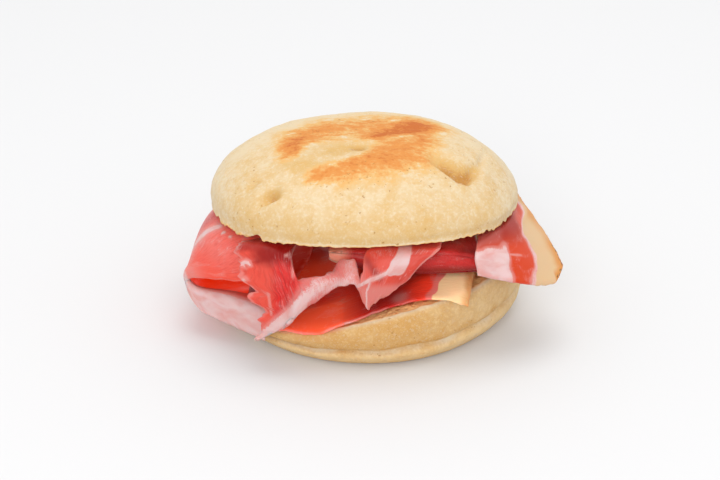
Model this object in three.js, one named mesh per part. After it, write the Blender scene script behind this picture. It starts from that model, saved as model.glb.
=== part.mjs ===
// A mini sandwich: a small round griddle bread, split by hand and filled with five thin,
// loosely folded slices of dry-cured ham that hang out at the left, the front and the right.
// Millimetres, +Z up. The origin is the middle of the flat face that the bread stands on,
// and the open side of the sandwich faces -Y.

import * as THREE from "three";
import { mergeVertices } from "three/addons/utils/BufferGeometryUtils.js";

// ---------------------------------------------------------------- driving dimensions

const GAP = 0.5; // room between two pieces that lie on each other
const SLICE = 1.2; // thickness of a slice of ham
const REST = GAP + SLICE / 2; // from a surface to the middle of the slice that lies on it

// Lower half: a flat base, a rounded foot, a crease, then a wall up to a slanting cut face.
const LOWER = {
  baseRadius: 32.5,
  footRadius: 36.8,
  footHeight: 2.8,
  creaseRadius: 35.7,
  creaseHeight: 4.2,
  wallRadius: 38.4,
  rimRadius: 37.8,
};
const LOWER_SEGMENTS = 56;
// The cut face climbs from the left to the right between these two places. Its rim stands up a
// little at the front right. The foot grows higher and wider towards the right, the crease with it.
const CUT = { low: 5, high: 17.2, from: -40, to: 22 };
const RIM_RISE = { angle: -31, spread: 10, height: 2.2, inner: 0.85 };
const FOOT_GROWTH = { angle: 20, height: 5.4, radius: 1.6 };

// Upper half: its cut face is propped up at the front by the ham.
const UPPER = {
  centre: [-1.8, 0, 28.4],
  frontRaise: 6.4, // degrees
  rightRaise: 1, // degrees
  cutRadius: 38.1,
  sideRadius: 38.2,
  thickness: 17.7,
  // How much the rounded side drops below the profile, all round and more at the right.
  sideDrop: 0.29,
  rightDrop: 0.17,
};
const UPPER_SEGMENTS = 60;

// Where each outline swells or is flattened: by angle from +X, in degrees, and share of the radius.
const LOWER_SWELLS = [
  { angle: 180, spread: 50, amount: 0.012 },
  { angle: 60, spread: 40, amount: -0.01 },
  { angle: -40, spread: 35, amount: -0.02 },
];
const UPPER_SWELLS = [
  { angle: -90, spread: 28, amount: -0.025 },
  { angle: -136, spread: 20, amount: 0.022 },
  { angle: -42, spread: 18, amount: 0.022 },
];

// The slice on the lower half lifts off it in a ripple that runs to its right edge,
// and sinks where it hangs past the bread.
const RIPPLE = { y: -25, width: 5, height: 2.4, from: 2, to: 14 };
const DROOP = { outside: 39, slope: 0.5 };

// Where the upper edge of the torn slice is torn away: both ends of the gap and its depth, as
// shares of the slice's width and height.
const TORN_AWAY = [
  { from: 0.208, to: 0.325, depth: 0.5 },
  { from: 0.588, to: 0.634, depth: 0.6 },
];
const TEAR_EDGE = 0.014;

// The folded slice in the middle: a nose at the front, two leaves that reach to the back.
const ROLL = { noseY: -27.6, reach: 37.2, waveLength: 25 };

// ---------------------------------------------------------------- helpers

const radians = THREE.MathUtils.degToRad;
const degrees = THREE.MathUtils.radToDeg;

// A smooth bump of height 1 at distance 0, fading over `width`.
const bump = (distance, width) => Math.exp(-((distance / width) ** 2));

// The angle between two directions in degrees, from 0 to 180.
function angleBetween(a, b) {
  const turn = Math.abs(a - b) % 360;
  return Math.min(turn, 360 - turn);
}

// What several swells placed round a bread add up to at one angle.
function swellAt(swells, angle) {
  const share = ({ amount, angle: middle, spread }) => amount * bump(angleBetween(angle, middle), spread);
  return 1 + swells.reduce((sum, swell) => sum + share(swell), 0);
}

// A smooth curve through a few points.
function curveThrough(points) {
  return new THREE.CatmullRomCurve3(points, false, "catmullrom", 0.5);
}

// A surface stretched over guide curves: `across` runs from guide to guide, `along` runs along them.
function surfaceOver(guides) {
  const curves = guides.map((guide) => curveThrough(guide.map((p) => new THREE.Vector3(...p))));
  return (across, along) => curveThrough(curves.map((curve) => curve.getPoint(along))).getPoint(across);
}

// A closed sheet of even thickness round the surface that `pointAt` gives.
function closedSheet(pointAt, acrossSteps, alongSteps, thickness) {
  const middle = [];
  for (let i = 0; i <= acrossSteps; i++) {
    for (let j = 0; j <= alongSteps; j++) middle.push(pointAt(i / acrossSteps, j / alongSteps));
  }
  const at = (i, j) => i * (alongSteps + 1) + j;
  const clampAcross = (i) => THREE.MathUtils.clamp(i, 0, acrossSteps);
  const clampAlong = (j) => THREE.MathUtils.clamp(j, 0, alongSteps);

  const positions = [];
  for (const side of [1, -1]) {
    for (let i = 0; i <= acrossSteps; i++) {
      for (let j = 0; j <= alongSteps; j++) {
        const du = middle[at(clampAcross(i + 1), j)].clone().sub(middle[at(clampAcross(i - 1), j)]);
        const dv = middle[at(i, clampAlong(j + 1))].clone().sub(middle[at(i, clampAlong(j - 1))]);
        const normal = du.cross(dv).normalize();
        const point = middle[at(i, j)].clone().addScaledVector(normal, (side * thickness) / 2);
        positions.push(point.x, point.y, point.z);
      }
    }
  }

  const back = middle.length; // index offset of the second face
  const faces = [];
  const quad = (a, b, c, d) => faces.push(a, b, c, a, c, d);
  for (let i = 0; i < acrossSteps; i++) {
    for (let j = 0; j < alongSteps; j++) {
      quad(at(i, j), at(i + 1, j), at(i + 1, j + 1), at(i, j + 1));
      quad(back + at(i, j), back + at(i, j + 1), back + at(i + 1, j + 1), back + at(i + 1, j));
    }
  }
  for (let i = 0; i < acrossSteps; i++) {
    quad(at(i, 0), back + at(i, 0), back + at(i + 1, 0), at(i + 1, 0));
    quad(at(i + 1, alongSteps), back + at(i + 1, alongSteps), back + at(i, alongSteps), at(i, alongSteps));
  }
  for (let j = 0; j < alongSteps; j++) {
    quad(j + 1, back + j + 1, back + j, j);
    const last = at(acrossSteps, j);
    quad(last, back + last, back + last + 1, last + 1);
  }
  const geometry = new THREE.BufferGeometry();
  geometry.setAttribute("position", new THREE.Float32BufferAttribute(positions, 3));
  geometry.setIndex(faces);
  geometry.computeVertexNormals();
  return geometry;
}

// A turned body whose points `shape` then moves, for bread that isn't perfectly round.
function turnedBody(profile, segments, shape) {
  const points = profile.map(([radius, height]) => new THREE.Vector2(radius, height));
  const lathe = new THREE.LatheGeometry(points, segments);
  lathe.deleteAttribute("normal");
  lathe.deleteAttribute("uv");
  lathe.rotateX(Math.PI / 2);
  const geometry = mergeVertices(lathe, 1e-4);
  const position = geometry.getAttribute("position");
  const point = new THREE.Vector3();
  for (let i = 0; i < position.count; i++) {
    shape(point.fromBufferAttribute(position, i));
    position.setXYZ(i, point.x, point.y, point.z);
  }
  geometry.computeVertexNormals();
  return geometry;
}

// ---------------------------------------------------------------- bread

// Height of the lower half's cut face.
function lowerCut(x) {
  return CUT.low + (CUT.high - CUT.low) * THREE.MathUtils.smoothstep(x, CUT.from, CUT.to);
}

// How far the cut face stands up near the rim.
function rimRise(radius, angle) {
  const { angle: middle, spread, height, inner } = RIM_RISE;
  const outward = THREE.MathUtils.smoothstep(radius / LOWER.rimRadius, inner, 1);
  return height * outward * bump(angleBetween(angle, middle), spread);
}

// How far the foot has grown at an angle, from 0 to 1.
function footGrowth(angle) {
  return ((1 + Math.cos(radians(angle - FOOT_GROWTH.angle))) / 2) ** 2;
}

// The profile is drawn with a level crease and up to the cut's highest point; shaping then
// stretches the foot to the crease's height and the wall to the cut face's height.
function lowerBread() {
  const { baseRadius, footRadius, footHeight, creaseRadius, creaseHeight, wallRadius, rimRadius } = LOWER;
  const wall = CUT.high - creaseHeight;
  const cutFace = [1, 0.85, 0.68, 0.5, 0.3, 0].map((share) => [rimRadius * share, CUT.high]);
  const profile = [
    [0, 0],
    [baseRadius * 0.5, 0],
    [baseRadius, 0],
    [baseRadius + 2.8, 0.8],
    [footRadius, footHeight],
    [footRadius - 0.3, creaseHeight - 0.4],
    [creaseRadius, creaseHeight],
    [creaseRadius + 1.6, creaseHeight + 0.14 * wall],
    [wallRadius, creaseHeight + 0.5 * wall],
    [wallRadius, creaseHeight + 0.85 * wall],
    ...cutFace,
  ];
  return turnedBody(profile, LOWER_SEGMENTS, (point) => {
    const angle = degrees(Math.atan2(point.y, point.x));
    const radius = Math.hypot(point.x, point.y);
    const rise = rimRise(radius, angle);
    const growth = footGrowth(angle);
    const crease = creaseHeight + FOOT_GROWTH.height * growth;
    const low = THREE.MathUtils.smoothstep(point.z, 0, footHeight);
    const high = THREE.MathUtils.smoothstep(point.z, creaseHeight, creaseHeight + 0.5 * wall);
    const wider = (FOOT_GROWTH.radius * growth * low * (1 - high)) / Math.max(radius, 1);
    const swell = swellAt(LOWER_SWELLS, angle) * (1 + wider);
    point.x *= swell;
    point.y *= swell;
    if (point.z > creaseHeight) {
      const share = (point.z - creaseHeight) / wall;
      point.z = crease + share * (lowerCut(point.x) + rise - crease);
    } else {
      point.z *= crease / creaseHeight;
    }
  });
}

function upperBread() {
  const { cutRadius, sideRadius, thickness, sideDrop, rightDrop } = UPPER;
  const profile = [
    [0, 0],
    [cutRadius * 0.5, 0],
    [cutRadius * 0.85, 0],
    [cutRadius, 0.3],
    [sideRadius - 0.1, 1.6],
    [sideRadius, 3.4],
    [sideRadius - 0.5, 6],
    [sideRadius - 1.7, 8.6],
    [sideRadius - 3.8, 11],
    [sideRadius - 6.9, 13.2],
    [sideRadius - 11, 15.1],
    [sideRadius - 16, thickness - 1.3],
    [sideRadius - 22, thickness - 0.5],
    [sideRadius - 30, thickness - 0.1],
    [0, thickness],
  ];
  return turnedBody(profile, UPPER_SEGMENTS, (point) => {
    const angle = Math.atan2(point.y, point.x);
    const outward = Math.hypot(point.x, point.y) / cutRadius;
    const swell = swellAt(UPPER_SWELLS, degrees(angle));
    point.z *= 1 - (sideDrop + rightDrop * Math.cos(angle)) * outward ** 5;
    point.x *= swell;
    point.y *= swell;
  });
}

// ---------------------------------------------------------------- ham

// The slice that lies on the lower half: its plan is a net of x and y, its height follows the cut.
function baseSlice() {
  const plan = surfaceOver([
    [[-15, 31, 0], [-6, 36.8, 0], [9, 37.2, 0], [21, 31, 0]],
    [[-23, 12, 0], [-8, 12, 0], [11, 12, 0], [34, 11, 0]],
    [[-22, -14, 0], [-8, -14, 0], [9, -14, 0], [27, -13, 0]],
    [[-23, -32, 0], [-11, -38.2, 0], [7, -32.6, 0], [22.3, -34.2, 0]],
  ]);
  const pointAt = (across, along) => {
    const point = plan(across, along);
    const rising = THREE.MathUtils.smoothstep(point.x, RIPPLE.from, RIPPLE.to);
    const lift = RIPPLE.height * bump(point.y - RIPPLE.y, RIPPLE.width) * rising;
    const past = Math.max(0, Math.hypot(point.x, point.y) - DROOP.outside);
    point.z = lowerCut(point.x) + REST + lift - DROOP.slope * past;
    return point;
  };
  return closedSheet(pointAt, 18, 14, SLICE);
}

// The slice folded over at the left: an upper leaf that drapes over the rim, a nose,
// and a lower leaf whose fatty edge hangs down at the front. Guides from back to front,
// each from the upper leaf's inner edge round the nose to the lower leaf's.
function leftSlice() {
  const guides = [
    [[-15, 24, 19.5], [-24, 28, 18.2], [-30.5, 28, 16.8], [-35, 26, 14.6],
      [-37, 24, 11.6], [-33.5, 24, 9.2], [-26, 25, 10.6], [-14, 25, 14]],
    [[-14, 6, 25.6], [-25, 5, 25.8], [-36.5, 4, 25.4], [-41.4, 2, 21.6],
      [-43.4, 1, 14.6], [-40.6, 1, 9.2], [-30, 2, 10.4], [-14, 6, 14]],
    [[-14, -9, 26], [-26, -13, 27.2], [-37, -12, 27], [-42, -11.5, 22.4],
      [-45.2, -11, 14.8], [-42.8, -12, 9.8], [-31, -14, 10.8], [-17, -12, 13.4]],
    [[-16, -16, 26.2], [-25, -20.5, 27.4], [-33, -22, 25.2], [-39, -19.5, 19.8],
      [-45.8, -14.6, 15.2], [-43.2, -17.4, 12], [-34.5, -22, 12.1], [-24.4, -29.3, 12]],
    [[-17, -19, 26.2], [-23.5, -25, 25.5], [-29, -27.5, 19.4], [-37, -23, 17.2],
      [-45.2, -16, 13.4], [-42.4, -19.2, 7], [-34.5, -23.6, 5], [-25.6, -31, 4.6]],
  ];
  return closedSheet(surfaceOver(guides), 14, 26, SLICE);
}

// The torn slice that hangs at the front: ragged lean with a peak at the left, a seam of fat that
// bridges a hollow and carries a small lobe, and a pointed flap at the right.
// Guides from left to right, each from under the bread downwards.
function tornSlice() {
  const surface = surfaceOver([
    [[-24, -24, 29.5], [-35, -27.5, 28], [-32.3, -33, 23.5], [-27.4, -37, 14], [-30.2, -37.1, 6.3]],
    [[-18, -24, 29.5], [-25, -31, 29.6], [-22, -36, 22], [-20, -38, 14.5], [-22, -38, 11.7]],
    [[-14, -24, 29.4], [-18, -32, 28.5], [-17.5, -36, 24.5], [-15.5, -38.5, 21.5], [-16, -38.5, 17]],
    [[-11, -33.5, 24.2], [-11, -35, 25], [-11, -36.5, 25.4], [-10, -37.7, 24.8], [-9.7, -38, 22.3]],
    [[-7.4, -34, 24.4], [-7.4, -35.4, 25.1], [-7.3, -36.8, 25.3], [-6.9, -37.6, 24.9], [-6.4, -38, 23.2]],
    [[-4.6, -34.2, 29.3], [-4.6, -35.2, 28.4], [-4.5, -36.4, 27], [-4.2, -37.4, 25.4], [-3.9, -37.8, 23]],
    [[0, -32.2, 30.2], [-0.6, -33.6, 29.8], [-0.8, -35.6, 27.5], [-1.2, -37, 23.5], [-1.6, -36.4, 15.9]],
    [[4, -27, 30], [3.6, -33.8, 30.4], [2.8, -36, 28.3], [1.4, -37, 24.4], [0, -36.3, 17]],
    [[8, -25, 29.7], [8, -33.5, 30.7], [6, -36, 28.5], [3.9, -37, 25], [1.5, -36.1, 18.2]],
    [[16, -25, 29.9], [16, -33.5, 30.7], [12, -36, 28.5], [8.5, -36.5, 24.5], [5, -36.3, 21.5]],
  ]);
  return closedSheet((across, along) => {
    const start = TORN_AWAY.reduce((sum, { from, to, depth }) => {
      const inside = THREE.MathUtils.smoothstep(across, from - TEAR_EDGE, from + TEAR_EDGE);
      return sum + depth * inside * (1 - THREE.MathUtils.smoothstep(across, to - TEAR_EDGE, to + TEAR_EDGE));
    }, 0);
    return surface(across, start + (1 - start) * along);
  }, 42, 10, SLICE);
}

// The slice that hangs out at the right, with its rind at the far end.
// Guides from left to right, each from under the bread down to the free edge.
function rightSlice() {
  const guides = [
    [[27, -6, 26.6], [25, -24, 29.9], [23.8, -31.2, 27.6], [24.3, -33, 23.6]],
    [[29, -2, 26.6], [30, -20, 29.8], [30.3, -27.5, 26.6], [31, -32, 21.4]],
    [[31, 4, 26.2], [33.5, -13, 28.9], [36, -23, 24.8], [37.5, -29.3, 19.1]],
    [[34, 10, 25.2], [35.6, -5, 27.4], [39.6, -16.5, 23.4], [43.5, -25.5, 17.5]],
    [[37.3, 11.5, 24.8], [39.6, -1.4, 25.1], [43.9, -11.2, 21.6], [46.2, -19.5, 19.4]],
  ];
  return closedSheet(surfaceOver(guides), 12, 12, SLICE);
}

// The folded slice between the others, by its section at one x: upper leaf, nose, lower leaf.
// The lower leaf lies on the slice below; the leaves' back ends wave a little. The nose may
// reach further to the right than the leaves.
function rollSection(x, radius, noseZ, reachRight = 0) {
  const nose = [90, 135, 180, 225, 270].map((turn) => [
    x + reachRight,
    ROLL.noseY + radius * Math.cos(radians(turn)),
    noseZ + radius * Math.sin(radians(turn)),
  ]);
  const wave = Math.sin((2 * Math.PI * x) / ROLL.waveLength);
  const backY = Math.sqrt(ROLL.reach ** 2 - x ** 2);
  const floor = lowerCut(x) + 2 * REST + SLICE / 2;
  const upperLeaf = [[x, backY - wave, 22.3 - 0.7 * wave], [x, 15, 24.4], [x, 0, 26.2], [x, -15, 27]];
  const lowerLeaf = [
    [x, -15, (floor + noseZ - radius) / 2 + 0.4],
    [x, 0, floor + 0.8],
    [x, 18, floor + 0.4],
    [x, backY + wave - 2, floor + 0.4],
  ];
  return [...upperLeaf, ...nose, ...lowerLeaf];
}

function rolledSlice() {
  const sections = [
    rollSection(-10.5, 1.2, 26.6),
    rollSection(-1, 2.4, 25.5),
    rollSection(9, 2.8, 25.2),
    rollSection(17, 2.8, 25.2),
    rollSection(24.5, 1.7, 24.4, 1.6),
  ];
  return closedSheet(surfaceOver(sections), 10, 26, SLICE);
}

// ---------------------------------------------------------------- the sandwich

const sandwich = new THREE.Group();

function addPiece(name, geometry, color, roughness) {
  const material = new THREE.MeshStandardMaterial({ color, roughness, metalness: 0 });
  const mesh = new THREE.Mesh(geometry, material);
  mesh.name = name;
  sandwich.add(mesh);
  return mesh;
}

addPiece("bun_bottom", lowerBread(), 0xe4bf86, 0.85);
addPiece("ham_base", baseSlice(), 0xd24a36, 0.45);
addPiece("ham_left", leftSlice(), 0xe07a70, 0.45);
addPiece("ham_torn", tornSlice(), 0xd06a62, 0.45);
addPiece("ham_right", rightSlice(), 0xdf9f78, 0.5);
addPiece("ham_roll", rolledSlice(), 0xbb3a3c, 0.45);

const upper = addPiece("bun_top", upperBread(), 0xeccf9d, 0.85);
upper.position.set(...UPPER.centre);
upper.rotation.set(radians(-UPPER.frontRaise), radians(-UPPER.rightRaise), 0);

export default sandwich;
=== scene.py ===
# %% [markdown]
# # A mini sandwich
# A small griddle bread is split by hand and filled with thin slices of dry-cured ham. Three kinds
# of surface carry the look: dry, floury crust; open, toasted crumb; and moist ham with lean, fat
# and rind. Each piece is modelled on its own round the solids that the frame holds, so it lands
# where its solid stands. Shapes are worked out in millimetres and written in metres.

import math

import bmesh
import bpy
import numpy as np
from mathutils import Matrix, Vector, noise


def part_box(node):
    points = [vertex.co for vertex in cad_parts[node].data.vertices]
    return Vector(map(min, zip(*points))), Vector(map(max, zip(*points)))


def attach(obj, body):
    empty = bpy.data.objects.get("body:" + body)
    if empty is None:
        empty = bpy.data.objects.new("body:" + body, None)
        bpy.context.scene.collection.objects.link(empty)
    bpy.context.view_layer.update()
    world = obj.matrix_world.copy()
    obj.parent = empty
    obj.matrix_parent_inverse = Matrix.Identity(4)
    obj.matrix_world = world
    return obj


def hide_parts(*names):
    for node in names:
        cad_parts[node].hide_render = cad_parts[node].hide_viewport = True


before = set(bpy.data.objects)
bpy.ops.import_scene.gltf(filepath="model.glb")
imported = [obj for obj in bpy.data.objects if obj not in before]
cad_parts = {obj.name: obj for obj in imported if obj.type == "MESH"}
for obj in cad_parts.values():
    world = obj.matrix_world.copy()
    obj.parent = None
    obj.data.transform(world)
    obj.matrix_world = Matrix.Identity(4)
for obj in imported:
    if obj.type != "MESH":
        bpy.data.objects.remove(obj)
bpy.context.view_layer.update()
MM = 0.001  # a millimetre, in metres
print("nodes:", sorted(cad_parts))

# %% [markdown]
# Food is never even, so shapes and edges below are roughened with noise. Blender's own is smooth
# and needs no random numbers: a seed only moves the place in the noise that a piece reads, so two
# pieces never share a pattern and every run gives the same one.

# %% Roughness that repeats on every run
SEED_STEP = Vector((17.3, 41.9, 8.6))


def ruffle(points, size, seed):
    """Noise from about -1 to 1 at each point; size is how long one swell is, in the points' unit."""
    start = SEED_STEP * seed
    return np.array([noise.noise(Vector(p) / size + start) for p in points])


def ease(value, start, end):
    """0 before start, 1 after end, and a soft S between them."""
    share = np.clip((value - start) / (end - start), 0, 1)
    return share * share * (3 - 2 * share)


def window(value, start, end, soft):
    """1 between start and end, with a soft border on each side."""
    return ease(value, start - soft, start + soft) * ease(value, end + soft, end - soft)


def bump(distance, width):
    """1 at distance 0, fading smoothly over width."""
    return np.exp(-((distance / width) ** 2))


def most(*values):
    """The largest of the values at each point."""
    return np.maximum.reduce(np.broadcast_arrays(*values))


print("noise at the origin:", ruffle([(0, 0, 0)], 1, 1).round(3))

# %% [markdown]
# Colours are easier to judge as 0 to 255 screen values than as the linear values that a shader
# wants, so a small function turns the first into the second. It also divides by how strong the
# light is there, so that the surface comes out in the colour that is written here.

# %% Colours
STUDIO_LIGHT = 1.4
CRUMB_LIGHT, LEAN_LIGHT, FAT_LIGHT, RIND_LIGHT = 0.95, 1.12, 1.25, 1.28  # under the crust there is less


def shade(red, green, blue, light=STUDIO_LIGHT):
    """A shader colour that looks like these screen values in that much light."""
    def linear(value):
        value = value / 255  # and then the standard curve of a screen
        value = value / 12.92 if value <= 0.04045 else ((value + 0.055) / 1.055) ** 2.4
        return min(0.98, value / light)
    return (linear(red), linear(green), linear(blue), 1)


CRUST_CREAM = shade(244, 222, 184)
CRUST_GOLD = shade(232, 189, 120)
CRUST_TAN = shade(208, 148, 74)
FLOUR = shade(250, 238, 212)
TOAST_GOLD = shade(244, 196, 126)
TOAST_ORANGE = shade(238, 158, 82)
TOAST_BROWN = shade(206, 100, 40)
SPECK_BROWN = shade(180, 126, 64)
CRUMB_PALE = shade(246, 196, 132, CRUMB_LIGHT)
CRUMB_TOAST = shade(210, 104, 44, CRUMB_LIGHT)
FAT_WHITE = shade(231, 201, 200, FAT_LIGHT)
FAT_PINK = shade(225, 162, 155, FAT_LIGHT)
RIND_CREAM = shade(238, 202, 154, RIND_LIGHT)
RIND_BROWN = shade(216, 145, 68, RIND_LIGHT)
RIND_CHAR = shade(88, 48, 26)
print("cream crust, linear:", [round(c, 2) for c in CRUST_CREAM])

# %% [markdown]
# Materials are built from nodes. One helper adds a node, sets its plain values and links its
# inputs; the others find the tree that their inputs belong to, so the recipes below stay
# readable. A shader group is a reusable recipe: it has named inputs and outputs, and each
# material places it with its own values.

# %% Helpers for nodes
def add(tree, kind, settings=None, **links):
    """Adds a node; settings are its properties, links fill its inputs with values or sockets."""
    node = tree.nodes.new("ShaderNode" + kind)
    for name, value in (settings or {}).items():
        setattr(node, name, value)
    for name, value in links.items():
        key = int(name[1:]) if name[0] == "_" else name.replace("_", " ")
        if isinstance(value, bpy.types.NodeSocket):
            tree.links.new(value, node.inputs[key])
        else:
            node.inputs[key].default_value = value
    return node


def tree_of(*values):
    """The node tree that the first socket among the values belongs to."""
    return next(value.id_data for value in values if isinstance(value, bpy.types.NodeSocket))


def calculate(operation, first, second=0.0, clamp=False):
    settings = {"operation": operation, "use_clamp": clamp}
    return add(tree_of(first, second), "Math", settings, _0=first, _1=second).outputs[0]


def times(first, second):
    return calculate("MULTIPLY", first, second)


def add_up(total, *values):
    for value in values:
        total = calculate("ADD", total, value)
    return total


def swing(value, amount):
    """Turns noise round 0.5 into a value round 0, that reaches about amount / 2 each way."""
    return times(calculate("SUBTRACT", value, 0.5), amount)


def mix(share, first, second):
    """A colour between the first, at a share of 0, and the second, at 1."""
    tree = tree_of(share, first, second)
    return add(tree, "Mix", {"data_type": "RGBA"}, _0=share, _6=first, _7=second).outputs[2]


def ramp(value, low, high):
    """0 below low, 1 above high, smooth between; a low above high turns it round."""
    ends = (0.0, 1.0) if low < high else (1.0, 0.0)
    return add(tree_of(value), "MapRange", {"interpolation_type": "SMOOTHSTEP"}, Value=value,
               From_Min=min(low, high), From_Max=max(low, high), To_Min=ends[0], To_Max=ends[1]).outputs[0]


def stretch(vector, scale, turn=0.0):
    node = add(tree_of(vector), "Mapping", Vector=vector, Scale=scale, Rotation=(0, 0, turn))
    return node.outputs[0]


def noise_node(vector, scale, detail=3.0, distortion=0.0):
    return add(tree_of(vector), "TexNoise", Vector=vector, Scale=scale, Detail=detail,
               Distortion=distortion).outputs[0]


def new_group(name, inputs, outputs):
    """A shader group; inputs and outputs give the kind of each named socket."""
    tree = bpy.data.node_groups.new(name, "ShaderNodeTree")
    for side, sockets in (("INPUT", inputs), ("OUTPUT", outputs)):
        for title, kind in sockets.items():
            tree.interface.new_socket(title, in_out=side, socket_type="NodeSocket" + kind)
    return tree, tree.nodes.new("NodeGroupInput").outputs, tree.nodes.new("NodeGroupOutput").inputs


def put_out(outputs, **values):
    """Links each value to the group's output of that name."""
    for name, value in values.items():
        value.id_data.links.new(value, outputs[name])


def new_material(piece, name):
    """Gives the piece a material with an empty node tree, and returns the tree."""
    material = bpy.data.materials.new(name)
    material.use_nodes = True
    material.node_tree.nodes.clear()
    piece.data.materials.append(material)
    return material.node_tree


def finish_surface(tree, **inputs):
    """Adds the shader and the output that every material ends with."""
    shader = add(tree, "BsdfPrincipled", **inputs)
    add(tree, "OutputMaterial", Surface=shader.outputs[0])
    return shader


print("node helpers ready")

# %% [markdown]
# A slice of ham is a thin sheet that hangs in folds. A cloth solver could drape it, but these
# folds are known, so it is stretched over a few guide curves instead, as a boat's skin is over
# its ribs: smooth curves run along each guide, and others run across them.

# %% Stretch a surface over guide curves
def curve_weights(at, count):
    """For places 0 to 1 on a smooth curve through count points: the first point and four weights."""
    place = np.clip(at, 0, 1) * (count - 1)
    first = np.minimum(place.astype(int), count - 2)
    t = place - first
    weights = [-t + 2 * t**2 - t**3, 2 - 5 * t**2 + 3 * t**3, t + 4 * t**2 - 3 * t**3, -t**2 + t**3]
    return first, 0.5 * np.array(weights)


def with_ends(points):
    """The same points with one more at each end, continuing the curve."""
    points = np.asarray(points, float)
    return np.concatenate([[2 * points[0] - points[1]], points, [2 * points[-1] - points[-2]]])


def surface_over(guides, across, along):
    """Points on the surface over the guides; across and along hold one value for each point."""
    rows = []
    first, weights = curve_weights(along, len(guides[0]))
    for guide in guides:
        padded = with_ends(guide)
        rows.append(sum(weight[:, None] * padded[first + k] for k, weight in enumerate(weights)))
    rows = with_ends(np.array(rows))
    first, weights = curve_weights(across, len(guides))
    each = np.arange(len(across))
    return sum(weight[:, None] * rows[first + k, each] for k, weight in enumerate(weights))


square = [[(0, 0, 0), (0, 1, 0)], [(1, 0, 0), (1, 1, 0)]]
print("middle of a unit square:", surface_over(square, np.array([0.5]), np.array([0.5])))

# %% [markdown]
# Every piece ends the same way: points and painted masks go into a bmesh, which becomes an object
# that rides on the one body and stands for its node. Masks are painted point by point in code,
# because they follow the shape; four of them fit one colour attribute.

# %% Make a piece
def box_of(node):
    """A node's lowest and highest corners, in millimetres."""
    return [np.array(corner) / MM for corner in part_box(node)]


def normals_of(shape, points):
    """Moves a bmesh's points and returns the directions that its surface then faces."""
    for vert, point in zip(shape.verts, points):
        vert.co = point
    shape.normal_update()
    return np.array([vert.normal for vert in shape.verts])


def stack(*masks):
    """Masks side by side, one row for each point, kept between 0 and 1."""
    return np.clip(np.stack(masks, 1), 0, 1)


def add_object(name, data):
    thing = bpy.data.objects.new(name, data)
    bpy.context.scene.collection.objects.link(thing)
    return thing


def make_piece(name, node, shape, points, attribute, masks):
    paint = shape.verts.layers.float_color.new(attribute)
    for vert, point, mask in zip(shape.verts, points * MM, masks):
        vert.co = point
        vert[paint] = mask.tolist()
    for face in shape.faces:
        face.smooth = True
    mesh = bpy.data.meshes.new(name)
    shape.to_mesh(mesh)
    shape.free()
    piece = add_object(name, mesh)
    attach(piece, "root")
    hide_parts(node)
    print(name, "faces:", len(mesh.polygons))
    return piece


print("box of the upper half, in mm:", *box_of("bun_top"))

# %% [markdown]
# A slice starts as a flat grid whose points are moved onto its surface. The surface is the
# slice's middle, so the solid's thickness tells how it has to lie to fill the box of its node.

# %% Measure and seat a sheet
CAD_SLICE = 1.2


def side_length(guides, over_guides, steps=25, lines=7):
    """Mean length of the surface, from the first guide to the last or from start to end."""
    run = np.linspace(0, 1, steps)
    lengths = []
    for fixed in np.linspace(0, 1, lines):
        here = np.full(steps, fixed)
        points = surface_over(guides, run, here) if over_guides else surface_over(guides, here, run)
        lengths.append(np.linalg.norm(np.diff(points, axis=0), axis=1).sum())
    return float(np.mean(lengths))


def seat(points, normals, node):
    """Moves a sheet's middle surface so that, at the solid's thickness, it fills the node's box."""
    reach = np.concatenate([points + normals * CAD_SLICE / 2, points - normals * CAD_SLICE / 2])
    low, high = box_of(node)
    own_low, own_high = reach.min(0), reach.max(0)
    return low + (points - own_low) * (high - low) / (own_high - own_low)


print("sides of the unit square:", side_length(square, True), side_length(square, False))

# %% [markdown]
# Knife and fingers leave the edges of a slice ragged, so noise pulls them in. The noise is read
# at the border itself, so the sheet is drawn in evenly and never folds over itself.

# %% Pull the edges of a sheet in
PULL_REACH = 3.5  # how far in from a ragged edge the sheet is drawn, in depths


def pull_in(guides, sides, ragged, seed):
    """How far each side is pulled in at every point. A side is the distance to it and the places
    of its border; ragged gives the depth and the size of its noise."""
    pulls = []
    for number, ((distance, *border), (depth, size)) in enumerate(zip(sides, ragged)):
        place = surface_over(guides, *border)
        pull = 0.45 + 0.7 * ruffle(place, size, seed + number)
        pull += 0.3 * ruffle(place, size / 3.3, seed + number + 0.5)
        pulls.append(np.clip(pull, 0, 1.3) * depth * (1 - ease(distance, 0, PULL_REACH * depth)))
    return pulls


print("pull at a corner of the square:", pull_in(square, [np.zeros((3, 1))], [(1, 1)], 1))

# %% [markdown]
# A slice curls a little and thins towards its edges, and a Solidify modifier gives it its
# thickness. Two things are stored for the material: a UV map in centimetres, so that fibres
# follow the folds, and a colour attribute named marbling: red is fat, and on the left slice also
# a painted sheen line; green is rind; blue is painted shade that darkens the lean; and alpha is
# how warm the lean is, where the warmest lean also switches on a painted glow.

# %% Make a slice from guides
SLICE = 1.15  # where it is all fat; lean dries out thinner
LEAN_SHARE = 0.8
THIN_EDGE = 0.32  # share of the thickness that is left at a cut edge
EDGE_TAPER = 1.5
CURL_REACH = 3.0
BOX_MARGIN = 0.04
CM_PER_MM = 0.1


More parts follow.
